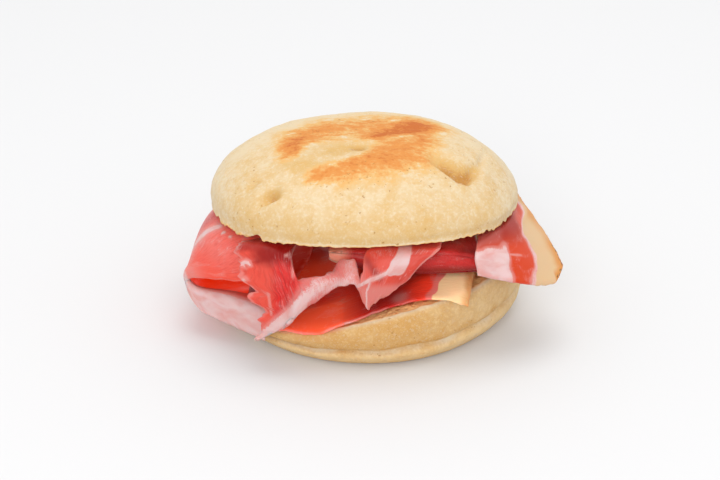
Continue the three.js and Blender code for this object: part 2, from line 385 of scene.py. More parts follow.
def make_slice(name, node, guides, spacing, ragged, curl, pale_edge, marbling, seed, torn=np.zeros_like):
    """ragged is (depth, size) at the first and last guide, the start and the end; curl is (height,
    size); marbling paints the masks; torn tells how far down the start is torn away."""
    guides = np.asarray(guides, float)
    width, length = side_length(guides, True), side_length(guides, False)
    sheet = bmesh.new()
    uv = sheet.loops.layers.uv.new("surface")
    weight = sheet.verts.layers.deform.new("thickness")
    steps = (round(width / spacing), round(length / spacing))
    bmesh.ops.create_grid(sheet, x_segments=steps[0], y_segments=steps[1], size=0.5)
    flat = np.array([vert.co for vert in sheet.verts]) + 0.5
    across, down = flat[:, 0], flat[:, 1]
    start = torn(across)
    along = start + (1 - start) * down
    smooth = surface_over(guides, across, along)
    normals = normals_of(sheet, smooth)
    offset = seat(smooth, normals, node) - smooth

    height = length * (1 - start)
    low_end, high_end = 0 * across, 0 * across + 1
    sides = [(across * width, low_end, along), ((1 - across) * width, high_end, along),
             (down * height, across, start), ((1 - down) * height, across, high_end)]
    first, last, top, foot = pull_in(guides, sides, ragged, seed)
    edge_across = across + (first - last) / width
    edge_along = along + (top - foot) / length
    points = surface_over(guides, edge_across, edge_along) + offset
    edge = np.minimum.reduce([side[0] for side in sides])
    curl_height, curl_size = curl
    wave = ruffle(smooth, curl_size, seed + 7) * (0.35 + 0.65 * (1 - ease(edge, 0, CURL_REACH)))
    points += normals * (curl_height * wave)[:, None]

    fat, rind, dark, warm = marbling(edge_across, edge_along, points)
    dried = pale_edge * (0.6 + 0.8 * ruffle(smooth, 3, seed + 9)) * (1 - ease(edge, 0.1, 0.8))
    fat = most(fat, dried * (rind < 0.05))
    masks = stack(fat, rind, dark, warm)
    thickness = THIN_EDGE + (1 - THIN_EDGE) * np.sqrt(ease(edge, 0, EDGE_TAPER))
    thickness *= LEAN_SHARE + (1 - LEAN_SHARE) * most(masks[:, 0], masks[:, 1])
    # a curl never takes the slice's surface out of its node's box
    low, high = box_of(node)
    reach = np.abs(normals) * (thickness * SLICE / 2)[:, None] + BOX_MARGIN
    points = np.clip(points, low + reach, high - reach)
    for vert, share in zip(sheet.verts, thickness):
        vert[weight][0] = float(share)
    for face in sheet.faces:
        for loop in face.loops:
            index = loop.vert.index
            loop[uv].uv = (across[index] * width * CM_PER_MM, along[index] * length * CM_PER_MM)

    piece = make_piece(name, node, sheet, points, "marbling", masks)
    piece.vertex_groups.new(name="thickness")
    solid = piece.modifiers.new("slice", "SOLIDIFY")
    solid.thickness = SLICE * MM
    solid.offset = 0
    solid.vertex_group = "thickness"
    print("grid", steps, "size in mm", round(width), round(length))
    return piece


print("thickness in fat and in lean, in mm:", SLICE, SLICE * LEAN_SHARE)

# %% [markdown]
# Seams of fat and strands are painted as strokes: the closer a point lies to a line through the
# given places, the stronger the stroke. What hangs at the front is almost upright, so there X
# and Z are enough to place them.

# %% Paint strokes
def stroke(points, line, width):
    """1 on a line through places in millimetres, fading over width; width may change along it."""
    line = np.asarray(line, float)
    widths = np.broadcast_to(np.asarray(width, float), len(line))
    strength = np.zeros(len(points))
    for a, b, width_a, width_b in zip(line, line[1:], widths, widths[1:]):
        share = np.clip((points - a) @ (b - a) / ((b - a) @ (b - a)), 0, 1)
        gap = np.linalg.norm(points - a - share[:, None] * (b - a), axis=1)
        strength = most(strength, bump(gap, width_a + (width_b - width_a) * share))
    return strength


print("half a width off a stroke:", stroke(np.array([[0.5, 2]]), [(0, 0), (0, 4)], 1))

# %% [markdown]
# Cured ham is a muscle cut across: lean made of fibres, seams of white fat, and on the outside
# more fat under a dried, browned rind. One shader group paints all of that from the masks stored
# on a slice. Noise moves the borders between lean and fat, so they never look drawn, and feeds
# the bump that catches the light. Its last output tells where light shines through the lean.

# %% The ham's marbling group
ham_group, given, result = new_group(
    "ham_marbling",
    {"Masks": "Color", "Warmth": "Float", "Surface": "Vector", "Lean": "Color", "Warm Lean": "Color",
     "Deep Lean": "Color", "Rind": "Color", "Fibre Contrast": "Float", "Vein Amount": "Float"},
    {"Color": "Color", "Roughness": "Float", "Height": "Float", "Glow": "Float"},
)
surface, warmth = given["Surface"], given["Warmth"]
masks = add(ham_group, "SeparateColor", _0=given["Masks"]).outputs
fibres = noise_node(stretch(surface, (24, 3.4, 1)), 1.0, 5.0, 0.5)
fine_fibres = noise_node(stretch(surface, (64, 9, 1)), 1.0, 3.0, 0.3)
strands = noise_node(stretch(surface, (9, 1.5, 1)), 1.0, 3.0, 0.8)
clouds = noise_node(surface, 2.4, 4.0, 0.5)
grain = noise_node(surface, 34.0, 3.0)

lean = mix(warmth, given["Lean"], given["Warm Lean"])
# where the lean is warm it was sliced along its fibres and looks smooth
fibrous = ramp(warmth, 1.2, 0.1)
contrast = times(given["Fibre Contrast"], fibrous)
deep_fibres = times(ramp(fibres, 0.42, 0.7), contrast)
pale_fibres = times(ramp(fine_fibres, 0.55, 0.75), times(contrast, 0.55))
lean = mix(ramp(clouds, 0.5, 0.72), lean, mix(0.22, lean, FAT_PINK))
lean = mix(deep_fibres, lean, given["Deep Lean"])
lean = mix(pale_fibres, lean, FAT_PINK)
# painted shade: the blue mask darkens the lean towards the colour of its fibres and shade
lean = mix(masks["Blue"], lean, given["Deep Lean"])
off_line = calculate("ABSOLUTE", calculate("SUBTRACT", strands, 0.5))
veins = times(ramp(off_line, 0.02, 0.003), ramp(clouds, 0.5, 0.62))
lean = mix(times(veins, given["Vein Amount"]), lean, FAT_WHITE)

wander = add_up(swing(fibres, 0.5), swing(grain, 0.35))
fat_edge = ramp(add_up(masks["Red"], wander), 0.36, 0.62)
fat_share = times(fat_edge, ramp(masks["Red"], 0.03, 0.2))
fat = mix(ramp(clouds, 0.25, 0.8), FAT_WHITE, FAT_PINK)
# a weak mask only makes the lean paler; a strong one turns it to fat with a crisp edge
lean = mix(times(ramp(masks["Red"], 0.0, 0.3), 0.5), lean, FAT_PINK)
colour = mix(fat_share, lean, fat)
rind = add_up(masks["Green"], times(wander, 0.25))
rind_share = ramp(rind, 0.1, 0.3)
colour = mix(rind_share, colour, given["Rind"])
colour = mix(times(ramp(rind, 0.45, 0.95), 0.9), colour, RIND_BROWN)
char_spots = ramp(noise_node(surface, 12.0, 1.0), 0.5, 0.6)
colour = mix(times(char_spots, ramp(rind, 0.92, 1.0)), colour, RIND_CHAR)

relief = times(add_up(fibres, times(fine_fibres, 0.4)), fibrous)
rough = add_up(times(grain, 0.25), 0.22, times(rind_share, 0.2))
put_out(result, Color=colour, Roughness=rough, Height=relief, Glow=ramp(warmth, 0.84, 1.0))
print("ham group nodes:", len(ham_group.nodes))

# %% [markdown]
# Every slice has a material of its own that places that group with its own colours. Light enters
# thin ham and comes out reddened, so the shader has subsurface scattering. Seen edge-on, a moist
# surface shows a pale sheen, which Layer Weight paints into the colour as a painted sheen; a thin
# clear coat stands for the film of melted fat that makes it shine. Deep in a fold, all light comes
# through the ham from behind: a faint emission in the warmest lean, a painted glow, stands for it.

# %% A ham material
LEAN_CORAL = shade(234, 106, 94, LEAN_LIGHT)
LEAN_ORANGE = shade(232, 66, 34, LEAN_LIGHT)
LEAN_ROSE = shade(214, 32, 26, LEAN_LIGHT)
LEAN_WINE = shade(206, 46, 42, LEAN_LIGHT)
LEAN_SALMON = shade(222, 88, 70, LEAN_LIGHT)
LEAN_PEACH = shade(234, 146, 118, LEAN_LIGHT)
# the deep colours tint dark fibres and are also the painted shade that the blue mask lays on
DEEP_RED = shade(184, 10, 4, LEAN_LIGHT)
DARK_RED = shade(140, 3, 1, LEAN_LIGHT)
BLACK = (0, 0, 0, 1)
# painted light: brighter lean for the slice on the bread, which lies in the shade of all above it
GLOWING_RED = shade(254, 44, 20, light=1)
GLOWING_ORANGE = shade(254, 92, 54, light=1)


def ham_material(piece, lean, warm, deep, fibre_contrast=0.4, vein_amount=0.3, edge_sheen=0.2,
                 relief=0.2, rind=RIND_CREAM, glow=BLACK):
    """lean and warm are the lean's colours; deep colours its dark fibres and its painted shade; relief is
    in millimetres; glow is painted light through the ham.
    """
    tree = new_material(piece, piece.name.replace("slice", "ham"))
    mark = add(tree, "Attribute", {"attribute_name": "marbling"}).outputs
    surface = add(tree, "UVMap", {"uv_map": "surface"}).outputs[0]
    flesh = add(tree, "Group", {"node_tree": ham_group}, Masks=mark["Color"],
                Warmth=mark["Alpha"], Surface=surface, Lean=lean, Warm_Lean=warm, Deep_Lean=deep, Rind=rind,
                Fibre_Contrast=fibre_contrast, Vein_Amount=vein_amount).outputs
    relief = relief * MM
    normal = add(tree, "Bump", Strength=0.5, Distance=relief, Height=flesh["Height"]).outputs[0]
    # painted sheen: seen edge-on, the colour turns towards pale pink
    edge_on = add(tree, "LayerWeight", Blend=0.25, Normal=normal).outputs["Facing"]
    colour = mix(times(edge_on, edge_sheen), flesh["Color"], FAT_PINK)
    shader = finish_surface(
        tree, Base_Color=colour, Roughness=flesh["Roughness"], Normal=normal, Subsurface_Weight=0.6,
        Subsurface_Radius=(1.0, 0.35, 0.25), Subsurface_Scale=1 * MM, Specular_IOR_Level=0.16,
        Coat_Weight=0.06, Coat_Roughness=0.2,
    )
    if glow != BLACK:
        lit = mix(flesh["Glow"], BLACK, glow)
        tree.links.new(lit, shader.inputs["Emission Color"])
        shader.inputs["Emission Strength"].default_value = 1.0


print("lean coral, linear:", [round(c, 2) for c in LEAN_CORAL])

# %% [markdown]
# The first slice lies on the lower half of the bread, so its height is the cut face's own height,
# which climbs from left to right. Its right end lifts in a ripple and ends in cream fat and rind;
# at the left front it hangs a little over the edge of the bread. In the hollow it glows a little.

# %% The slice on the lower half
CUT_LOW, CUT_HIGH = 5.0, 17.2
CUT_FROM, CUT_TO = -40.0, 22.0
HANGS_FROM = 39  # distance from the middle
LIES_ABOVE = 1.1
SLICE_LENGTH = 46
GRID_SPACING = 0.42
PLAN = [
    [(-15, 31, 0), (-6, 36.8, 0), (9, 37.2, 0), (21, 31, 0)],
    [(-23, 12, 0), (-8, 12, 0), (11, 12, 0), (34, 11, 0)],
    [(-22, -14, 0), (-8, -14, 0), (9, -14, 0), (27, -13, 0)],
    [(-23, -32, 0), (-11, -38.2, 0), (7.5, -34.2, 0), (22.6, -36, 0)],
]


def lower_cut(x):
    """Height of the lower half's cut face, in millimetres."""
    return CUT_LOW + (CUT_HIGH - CUT_LOW) * ease(x, CUT_FROM, CUT_TO)


def base_guides(rows=25, columns=19):
    across, along = np.meshgrid(np.linspace(0, 1, rows), np.linspace(0, 1, columns), indexing="ij")
    points = surface_over(PLAN, across.ravel(), along.ravel())
    x, y, _ = points.T
    ripple = 2.4 * bump(y + 25, 5) * ease(x, 2, 14)
    droop = 0.5 * most(0, np.hypot(x, y) - HANGS_FROM)
    points[:, 2] = lower_cut(x) + LIES_ABOVE + ripple - droop
    return points.reshape(rows, columns, 3)


def base_marbling(across, along, points):
    x, y, _ = points.T
    # cream fat fills the last stretch before the right edge and turns to rind at the edge itself
    to_edge = (1 - along) * SLICE_LENGTH + 0.9 * ruffle(points, 3, 15)
    cream = 7 + 0.27 * most(0, -25 - y)
    rind = 0.38 * ease(to_edge, cream, cream - 0.9) + 0.44 * ease(to_edge, 3.6, 0.6)
    white = 0.34 * ease(to_edge, cream + 2, cream + 0.4)
    front_patch = 0.3 * bump(x - 6.5, 2.2) * bump(y + 31.5, 2.5)
    # painted shade where the folded slice lies over this one
    dark = 0.85 * ease(x, -8, 0) * ease(x, 14, 4)
    # in the hollow behind the torn slice there is painted shade, and a painted glow stands for light
    # through the thin ham
    hollow = ease(y, -20, -14) * ease(y, 16, 8) * ease(x, 2, -4)
    dark = most(dark, 0.5 * hollow)
    warm = 0.3 + 0.7 * ease(x, 0, -9) * ease(y, -22, -27)
    warm = most(warm, hollow * (0.86 + 0.14 * ease(y, 5, -9)))
    return most(white, front_patch), rind, dark, warm


slice_on_bread = make_slice(
    "slice_on_bread", "ham_base", base_guides(), GRID_SPACING,
    ragged=((1.2, 5), (0.6, 3), (1, 4), (0.4, 5)), curl=(0.2, 6), pale_edge=0.5,
    marbling=base_marbling, seed=11,
)
# painted light: the slice on the bread gets brighter lean and cream, to make up for the shade it lies in
ham_material(slice_on_bread, GLOWING_RED, GLOWING_ORANGE, DEEP_RED, fibre_contrast=0.3, edge_sheen=0.15,
             rind=shade(246, 208, 158, light=1.05), glow=(0.14, 0.012, 0.003, 1))

# %% [markdown]
# The slice at the left is folded over: its upper leaf drapes down the side of the bread, turns at
# a rounded nose and comes back as a lower leaf. The front edge of the lower leaf is a band of
# white fat that hangs over the foot of the bread. The mouth of the fold is where it glows.

# %% The slice folded at the left
LEFT_GUIDES = [
    [(-15, 24, 19.5), (-24, 28, 18.2), (-30.5, 28, 16.8), (-35, 26, 14.6),
     (-37, 24, 11.6), (-33.5, 24, 9.2), (-26, 25, 10.6), (-14, 25, 14)],
    [(-14, 6, 25.6), (-25, 5, 25.8), (-36.5, 4, 25.4), (-41.4, 2, 21.6),
     (-43.4, 1, 14.6), (-40.6, 1, 9.2), (-30, 2, 10.4), (-14, 6, 14)],
    [(-14, -9, 26), (-26, -13, 27.2), (-37, -12, 27), (-42, -11.5, 22.4),
     (-45.2, -11, 14.8), (-42.8, -12, 9.8), (-31, -14, 10.8), (-17, -12, 13.4)],
    [(-16, -16, 26.2), (-25, -20.5, 27.4), (-33, -22, 25.2), (-39, -19.5, 19.8),
     (-45.8, -14.6, 15.2), (-43.2, -17.4, 12), (-34.5, -22, 12.1), (-24.4, -29.3, 12)],
    [(-17, -19, 26.2), (-23.5, -25, 25.5), (-29, -27.5, 19.4), (-37, -23, 17.2),
     (-45.2, -16, 13.4), (-42.4, -19.2, 7), (-34.5, -23.6, 5), (-25.6, -31, 4.6)],
]


def left_marbling(across, along, points):
    x, _, z = points.T
    lower = ease(along, 0.5, 0.62)
    band = ease(across, 0.7, 0.8) * lower
    nose = 0.3 * ease(across, 0.5, 0.8) * bump(along - 0.55, 0.07)
    # painted highlight: a pale sheen line where the fold bends, painted into the fat mask
    sheen = [(-44.2, -9.5, 18.5), (-42, -11.2, 22.6), (-37, -14, 27)]
    strand_and_sheen = most(0.8 * stroke(points, sheen, (0.5, 1.3, 1)), 0.2 * stroke(points, sheen, 2.6))
    flecks = ease(ruffle(points, 1.6, 29), 0.25, 0.5)
    flecks *= 0.7 * stroke(points, [(-39, -14, 27), (-33, -19, 26)], 3)
    inner_leaf = ease(along, 0.56, 0.62) * ease(across, 0.76, 0.66)
    # the mouth of the fold is lit through the thin leaf, up to where the torn slice shades it
    lit = ease(x, -29.2, -30.2) * ease(across, 0.2, 0.4)
    reached = 0.89 * ease(x, -26, -22) * ease(across, 0.05, 0.2)
    warm = 0.75 * ease(z, 24, 16.5) * ease(across, 0.4, 0.7)
    warm = most(warm * (1 - inner_leaf), inner_leaf * most(lit, reached))
    # painted shade: the top near the bread's edge, the hidden right end seen through the hollow, and the
    # inside of the fold
    shaded = 0.85 * stroke(points, [(-42.6, -4, 20), (-39.4, -7, 25)], (2.4, 3.4)) * (1 - strand_and_sheen)
    dark = most(shaded, ease(x, -24, -20), inner_leaf * (1 - lit))
    return most(band, nose, strand_and_sheen, flecks), 0 * across, dark, warm


slice_left = make_slice(
    "slice_left", "ham_left", LEFT_GUIDES, GRID_SPACING,
    ragged=((1.4, 5), (0.5, 2.4), (1, 4), (0.8, 4)), curl=(0.35, 6), pale_edge=0.3,
    marbling=left_marbling, seed=23,
)
ham_material(slice_left, LEAN_CORAL, LEAN_ORANGE, DEEP_RED, fibre_contrast=0.3, vein_amount=0.35,
             edge_sheen=0.28, glow=(0.48, 0.014, 0.0, 1))

# %% [markdown]
# The torn slice hangs at the front. Fingers pulled it apart: shreds of lean stand at its left
# edge, a seam of fat still bridges a hollow and carries a small lobe, and a flap hangs at the
# right. Its upper edge is torn away in two places, so there the grid starts lower.

# %% The torn slice at the front
TORN_GUIDES = [
    [(-24, -24, 29.5), (-35, -27.5, 28), (-32.3, -33, 23.5), (-27.4, -37, 14), (-30.2, -37.1, 6.3)],
    [(-18, -24, 29.5), (-25, -31, 29.6), (-22, -36, 22), (-20, -38, 14.5), (-22, -38, 11.7)],
    [(-14, -24, 29.4), (-18, -32, 28.5), (-17.5, -36, 24.5), (-15.5, -38.5, 21.5), (-16, -38.5, 17)],
    [(-9.9, -33.6, 24.3), (-9.9, -35, 25), (-9.9, -36.5, 25.4), (-9.2, -37.7, 24.8), (-8.9, -38, 22.4)],
    [(-7.6, -34, 28), (-7.6, -35.2, 27.4), (-7.5, -36.5, 26.2), (-6.9, -37.6, 24.9), (-6.4, -38, 23.2)],
    [(-4.8, -34.2, 28.5), (-4.7, -35.2, 27.9), (-4.5, -36.4, 26.7), (-4.2, -37.4, 25.4), (-3.9, -37.8, 23)],
    [(0, -32.2, 30.2), (-0.6, -33.6, 29.8), (-0.8, -35.6, 27.5), (-1.2, -37, 23.5), (-1.6, -36.4, 15.9)],
    [(4, -27, 30), (3.6, -33.8, 30.4), (2.8, -36, 28.3), (1.4, -37, 24.4), (0, -36.3, 17)],
    [(8, -25, 29.7), (8, -33.5, 30.7), (6, -36, 28.5), (3.9, -37, 25), (1.5, -36.1, 18.2)],
    [(16, -25, 29.9), (16, -33.5, 30.7), (12, -36, 28.5), (8.5, -36.5, 24.5), (5, -36.3, 21.5)],
]
FINE_SPACING = 0.2
SEAM = [(-30.2, 6), (-23, 12.6), (-18, 17), (-15.3, 20.5), (-12.5, 23.2), (-9, 23.8), (-5, 24)]
SEAM_WIDTHS = [1.2, 1.4, 1.5, 2, 3.2, 2.6, 2.4]


def torn_away(across):
    notch = 0.6 * window(across, 0.588, 0.634, 0.014) + 0.26 * bump(across - 0.588, 0.016)
    return 0.5 * window(across, 0.208, 0.325, 0.014) + notch


def torn_marbling(across, along, points):
    front = points[:, [0, 2]]
    x, z = front.T

    def line(places, width):
        return stroke(front, places, width)

    left_part = ease(x, -12, -16)
    seam = line(SEAM, SEAM_WIDTHS) * (1 - 0.42 * ease(x, -18, -14))
    lobe = 0.5 * line([(-5.4, 28.6), (-5.2, 24)], (2.8, 3))
    wedge = ease(line([(8, 31.5), (6.8, 29), (5.7, 27.6), (4, 26.5)], (1.3, 1.9, 2.1, 1)), 0.35, 0.6)
    strand_and_sheen = 0.9 * line([(5.5, 27.4), (0.2, 24.8), (-4.6, 22.9), (-8, 22.6)], 0.5)
    flap_edge = 0.6 * line([(-0.4, 24.8), (-1.6, 21.5), (-1.5, 15.8)], 0.45)
    lower_flap = 0.3 * ease(x, -3.5, -2.5) * ease(z, 25, 21.5)
    split = 0.45 * line([(-24.2, 20.5), (-23.6, 15.5)], 0.3)
    peak = 0.6 * line([(-20.4, 28.4), (-19.2, 28.6), (-18.7, 27), (-18.6, 24.5)], 0.24)
    shreds = line([(-31.5, 26.3), (-27.5, 26)], 0.9) + line([(-30, 22.5), (-28.6, 20.6)], 1)
    shreds *= 0.75 * ease(ruffle(points, 1.7, 41), -0.25, 0.15)
    fat = most(seam, lobe, wedge, strand_and_sheen, flap_edge, shreds, split, lower_flap, peak)

    # the bread above shades the slice right under its edge
    wobble = 1.8 * ruffle(points, 3, 45) + 0.8 * ruffle(points, 1, 46)
    under_lip = ease(x + wobble, -31.5, -25) * ease(z + 0.6 * wobble, 25.6, 28.6)
    under_lip = left_part * most(0.9 * under_lip, 0.7 * ease(z + 0.5 * wobble, 27.4, 28.8))
    # the blue mask's painted shade also darkens the right part a little and a short line beside the notch
    # in the upper edge
    dark = under_lip + 0.18 * ease(x, 3, 6) + 0.6 * line([(-1.2, 28), (1.5, 25.2)], 1)
    warm = most(0.75 * left_part * ease(x, -21.5, -24.5), 0.8 * ease(x, -9, -4))
    return fat, 0 * x, dark, warm


slice_torn = make_slice(
    "slice_torn", "ham_torn", TORN_GUIDES, FINE_SPACING,
    ragged=((2.2, 3.2), (0.4, 4), (1, 2.2), (1.1, 1.9)), curl=(0.5, 3.4), pale_edge=0.4,
    marbling=torn_marbling, seed=37, torn=torn_away,
)
ham_material(slice_torn, LEAN_ROSE, LEAN_SALMON, DARK_RED, fibre_contrast=0.5, edge_sheen=0.15,
             relief=0.45)

# %% [markdown]
# The slice at the right hangs out from under the bread. From its inner edge outwards it shows
# white fat, a stripe of lean, and a broad layer of cream fat under a browned, speckled rind.

# %% The slice that hangs out at the right
RIGHT_GUIDES = [
    [(27, -6, 26.6), (25, -24, 29.9), (23.8, -31.2, 27.6), (24.3, -33, 23.6)],
    [(29, -2, 26.6), (30, -20, 29.8), (30.3, -27.5, 26.6), (31, -32, 21.4)],
    [(31, 4, 26.2), (33.5, -13, 28.9), (36, -23, 24.8), (37.5, -29.3, 19.1)],
    [(34, 10, 25.2), (35.6, -5, 27.4), (39.6, -16.5, 23.4), (43.5, -25.5, 17.5)],
    [(37.3, 11.5, 24.8), (39.6, -1.4, 25.1), (43.9, -11.2, 21.6), (46.2, -19.5, 19.4)],
]
RIGHT_SPACING = 0.3
LEAN_RUST = shade(206, 64, 22, LEAN_LIGHT)
CHERRY_FIBRE_AND_SHADE = shade(144, 14, 4, LEAN_LIGHT)


def right_marbling(across, along, points):
    across = across + 0.025 * ruffle(points, 3, 61)
    drift = 0.05 * ruffle(points, 2.6, 62)
    band = ease(across, 0.35, 0.27) * ease(along + drift, 0.5, 0.68)
    above_band = 0.12 * ease(across, 0.34, 0.2) * ease(along, 0.62, 0.5)
    line = 0.45 * bump(along - 0.66 - 0.1 * across, 0.012) * ease(across, 0.48, 0.42)
    border = 0.5 + 0.12 * bump(along - 0.72, 0.2) + 0.35 * ease(along, 0.55, 0.35)
    white = 0.6 * ease(across, border - 0.05, border)
    outside = ease(across, border, border + 0.1)
    to_rind = np.minimum((1 - across) * 15, 26 * (1 - along) + 12 * ease(across, 0.8, 0.64))
    browned = ease(to_rind, 3.4, 0.2) * (0.28 + 0.36 * ease(along, 0.5, 0.75))
    rind = 0.38 * ease(across, border - 0.005, border + 0.05)
    # the extra browning towards the top, near the bread, is painted shade
    rind += (browned + 0.25 * ease(along, 0.6, 0.4)) * outside
    # painted shade: the lean is darker near the bread, which shades it
    dark = 0.8 * ease(along, 0.64, 0.42) * ease(across, 0.66, 0.5)
    return most(band, line, white, above_band), rind, dark, 0 * across + 1


slice_right = make_slice(
    "slice_right", "ham_right", RIGHT_GUIDES, RIGHT_SPACING,
    ragged=((0.2, 4), (0.6, 2.6), (1, 4), (0.5, 2.6)), curl=(0.3, 5), pale_edge=0.2,
    marbling=right_marbling, seed=53,
)
ham_material(slice_right, LEAN_CORAL, LEAN_RUST, CHERRY_FIBRE_AND_SHADE, fibre_contrast=0.25, vein_amount=0.2,
             edge_sheen=0.1, rind=shade(234, 198, 152))

# %% [markdown]
# Between them lies one more slice, folded so that a round nose faces the front. Its guides are
# its sections at a few places from left to right: an upper leaf, half a circle, a lower leaf.

# %% The slice folded in the middle
NOSE_Y = -27.6
LEAF_REACH = 37.2
LEAF_WAVE = 25.0


def roll_section(x, radius, nose_z, reach_right=0.0):
    """The fold's section at x; its nose has this radius and height, and may reach to the right."""
    turns = np.radians([90, 135, 180, 225, 270])
    nose_x = np.full(len(turns), x + reach_right)
    nose = np.stack([nose_x, NOSE_Y + radius * np.cos(turns), nose_z + radius * np.sin(turns)], 1)
    wave = math.sin(2 * math.pi * x / LEAF_WAVE)
    back_y = math.sqrt(LEAF_REACH**2 - x**2)
    floor = float(lower_cut(x)) + 2.8
    upper = [(x, back_y - wave, 22.3 - 0.7 * wave), (x, 15, 24.4), (x, 0, 26.2), (x, -15, 27)]
    lower = [(x, -15, (floor + nose_z - radius) / 2 + 0.4), (x, 0, floor + 0.8), (x, 18, floor + 0.4),
             (x, back_y + wave - 2, floor + 0.4)]
    return upper + nose.tolist() + lower


def roll_marbling(across, along, points):
    end_curl = ease(across, 0.17, 0.07)
    # painted shade: the lower leaf under the nose, and the dark opening at the right end under the bread
    hollow = stroke(points, [(21.5, -28.5, 28), (25.5, -27.5, 27.5)], 1.8)
    dark = ease(along, 0.47, 0.56) + 0.9 * hollow
    return 0 * across, 0 * across, dark * (1 - end_curl), end_curl


roll_guides = [
    roll_section(-10.5, 1.2, 26.6), roll_section(-1, 2.4, 25.5), roll_section(9, 2.8, 25.2),
    roll_section(17, 2.8, 25.2), roll_section(24.5, 1.7, 24.4, 1.6),
]
slice_folded = make_slice(
    "slice_folded", "ham_roll", roll_guides, GRID_SPACING,
    ragged=((0.7, 3), (0.2, 3), (1.2, 5), (1.2, 5)), curl=(0.4, 6), pale_edge=0.3,
    marbling=roll_marbling, seed=71,
)
ham_material(slice_folded, LEAN_WINE, LEAN_PEACH, DARK_RED, fibre_contrast=0.25, vein_amount=0.2,
             edge_sheen=0.25)

# %% [markdown]
# The bread was shaped by hand and baked on a griddle. Its crust is pale and floury, browned only
# where it touched the hot plate, and inside is a soft crumb full of pores. The group below paints
# it from an attribute named baking: red is how browned the surface is, green is how much crumb
# shows, blue is where flour has gathered, and alpha is half of how golden the crust is, because
# that passes 1 in the dents and a stored mask doesn't.

# %% The bread's group
bread_group, given, result = new_group(
    "griddle_bread",
    {"Masks": "Color", "Warmth": "Float", "Place": "Vector", "Crust": "Color", "Warm Crust": "Color",
     "Speck Amount": "Float"},
    {"Color": "Color", "Roughness": "Float", "Height": "Float"},
)
place = given["Place"]
masks = add(bread_group, "SeparateColor", _0=given["Masks"]).outputs
patches = noise_node(place, 150.0, 4.0, 0.3)
mottle = noise_node(place, 520.0, 5.0)
fine = noise_node(place, 1500.0, 4.0)
streaks = noise_node(stretch(place, (150, 430, 430), 0.25), 1.0, 5.0, 0.9)

tint = add_up(swing(patches, 0.8), swing(mottle, 0.9), swing(fine, 1.5), given["Warmth"])
colour = mix(ramp(tint, 0.0, 1.0), given["Crust"], given["Warm Crust"])
colour = mix(ramp(tint, 1.1, 2.1), colour, CRUST_TAN)
dusted = calculate("MAXIMUM", times(ramp(fine, 0.5, 0.7), 0.3), times(masks["Blue"], 0.75))
colour = mix(dusted, colour, FLOUR)

wander = add_up(swing(streaks, 0.8), swing(mottle, 0.9), swing(patches, 0.8), swing(fine, 0.6))
baked = calculate("ADD", masks["Red"], times(wander, ramp(masks["Red"], 0.02, 0.4)), clamp=True)
for low, high, toast in ((0.03, 0.3, TOAST_GOLD), (0.2, 0.65, TOAST_ORANGE), (0.6, 1.2, TOAST_BROWN)):
    colour = mix(ramp(baked, low, high), colour, toast)

dots = ramp(noise_node(place, 1150.0, 2.0), 0.66, 0.71)
dots = times(dots, ramp(noise_node(place, 95.0, 2.0), 0.52, 0.6))
spots = add(bread_group, "TexVoronoi", Vector=place, Scale=280.0).outputs[0]
spots = times(ramp(spots, 0.12, 0.06), ramp(mottle, 0.5, 0.6))
specks = times(calculate("MAXIMUM", dots, spots), given["Speck Amount"])
colour = mix(specks, colour, SPECK_BROWN)

pores = add(bread_group, "TexVoronoi", Vector=place, Scale=620.0).outputs[0]
crumb_toast = add_up(masks["Red"], swing(mottle, 1.4), swing(fine, 1.6))
crumb = mix(ramp(crumb_toast, 0.15, 1.0), CRUMB_PALE, CRUMB_TOAST)
colour = mix(masks["Green"], colour, crumb)

relief = add_up(times(mottle, 0.5), times(fine, 0.5), times(ramp(pores, 0.1, 0.5), masks["Green"]))
put_out(result, Color=colour, Roughness=add_up(times(fine, 0.15), 0.8), Height=relief)
print("bread group nodes:", len(bread_group.nodes))

# %% [markdown]
# Each half places that group with its own crust colours. The crust is dry, so it is rough and
# hardly shines; a little light still enters it, which softens the edges of its dents.

# %% A bread material
def bread_material(piece, name, crust, warm, speck_amount):
    tree = new_material(piece, name)
    mark = add(tree, "Attribute", {"attribute_name": "baking"}).outputs
    place = add(tree, "TexCoord").outputs["Object"]
    baked = add(tree, "Group", {"node_tree": bread_group}, Masks=mark["Color"],
                Warmth=times(mark["Alpha"], 2.0), Place=place, Crust=crust, Warm_Crust=warm,
                Speck_Amount=speck_amount).outputs
    relief = add(tree, "Bump", Strength=0.8, Distance=0.3 * MM, Height=baked["Height"]).outputs[0]
    finish_surface(tree, Base_Color=baked["Color"], Roughness=baked["Roughness"], Normal=relief,
                   Subsurface_Weight=0.1, Subsurface_Radius=(1.0, 0.6, 0.3), Subsurface_Scale=1.2 * MM,
                   Specular_IOR_Level=0.2)


print("crust gold, linear:", [round(c, 2) for c in CRUST_GOLD])

# %% [markdown]
# A round bread is turned like a pot: its profile is spun once round an upright axis, and then its
# points are moved, because no hand-made bread is quite round. The profile is a short list of
# radii and heights, with a smooth curve through them.

# %% Spin a bread
PROFILE_SPACING = 0.5
MERGE_DISTANCE = 0.01


def profile_curve(profile, fine_steps=4000):
    """Points along a smooth curve through (radius, height) pairs, about evenly spaced."""
    padded = with_ends([(radius, 0, height) for radius, height in profile])
    first, weights = curve_weights(np.linspace(0, 1, fine_steps), len(profile))
    points = sum(weight[:, None] * padded[first + k] for k, weight in enumerate(weights))
    run = np.concatenate([[0], np.cumsum(np.linalg.norm(np.diff(points, axis=0), axis=1))])
    even = np.linspace(0, run[-1], round(run[-1] / PROFILE_SPACING))
    curve = np.stack([np.interp(even, run, points[:, axis]) for axis in range(3)], 1)
    curve[[0, -1], 0] = 0
    return curve * MM


